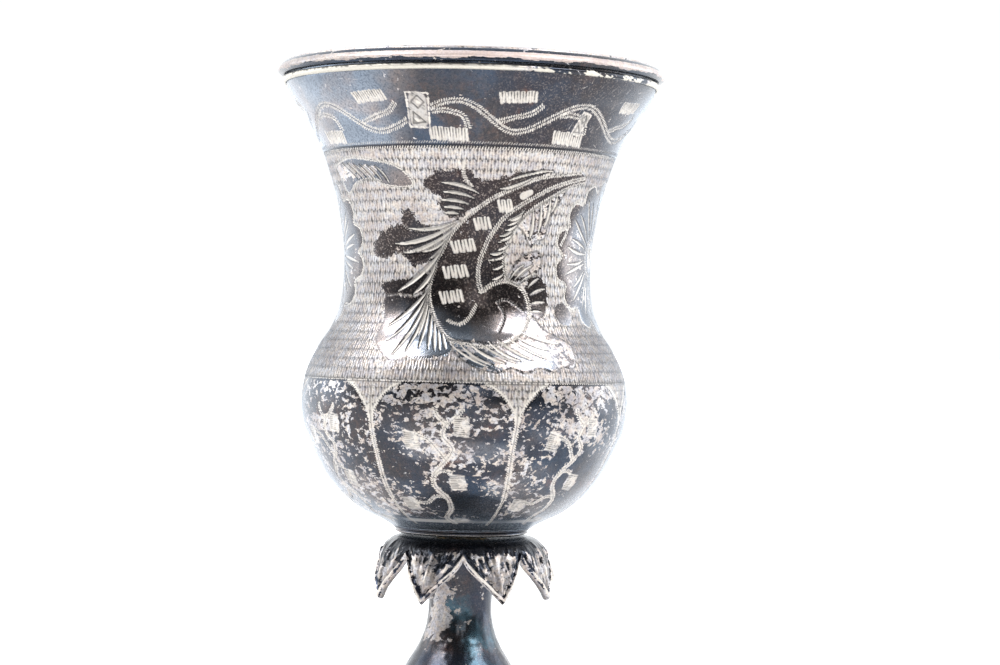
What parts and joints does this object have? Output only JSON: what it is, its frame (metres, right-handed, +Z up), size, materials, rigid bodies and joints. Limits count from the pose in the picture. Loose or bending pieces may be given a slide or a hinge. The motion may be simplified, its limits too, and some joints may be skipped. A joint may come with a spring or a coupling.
{
  "type": "ceremonial cup",
  "caption": "Goblet-shaped silver cup: flared bowl with a bulbous bottom, moulded lip and leaf calyx, on a baluster stem and domed foot.",
  "frame": {"origin": "centre of the plane the foot rests on, under the cup's own axis", "axes": "+Z up along the cup's axis, from the foot to the lip; the cup is the same all round, so +X and +Y are any two level directions at right angles"},
  "size_m": [0.076, 0.076, 0.163],
  "materials": {
    "tarnished_silver": "engraved silver with blue-black tarnish",
    "bright_silver": "worn bright silver",
    "brass": "dull brass"
  },
  "bodies": {
    "root": {"bowl_shell": "tarnished_silver", "lip_band": "tarnished_silver", "lip_wire": "bright_silver", "seat_ring": "tarnished_silver", "bowl_boss": "brass", "leaf_calyx": "tarnished_silver", "baluster_upper": "tarnished_silver", "baluster_lower": "tarnished_silver", "foot_collar": "tarnished_silver", "foot_dome": "tarnished_silver", "foot_rim": "tarnished_silver", "tie_rod": "brass", "dished_washer": "brass", "tie_nut": "brass"}
  },
  "joints": []
}
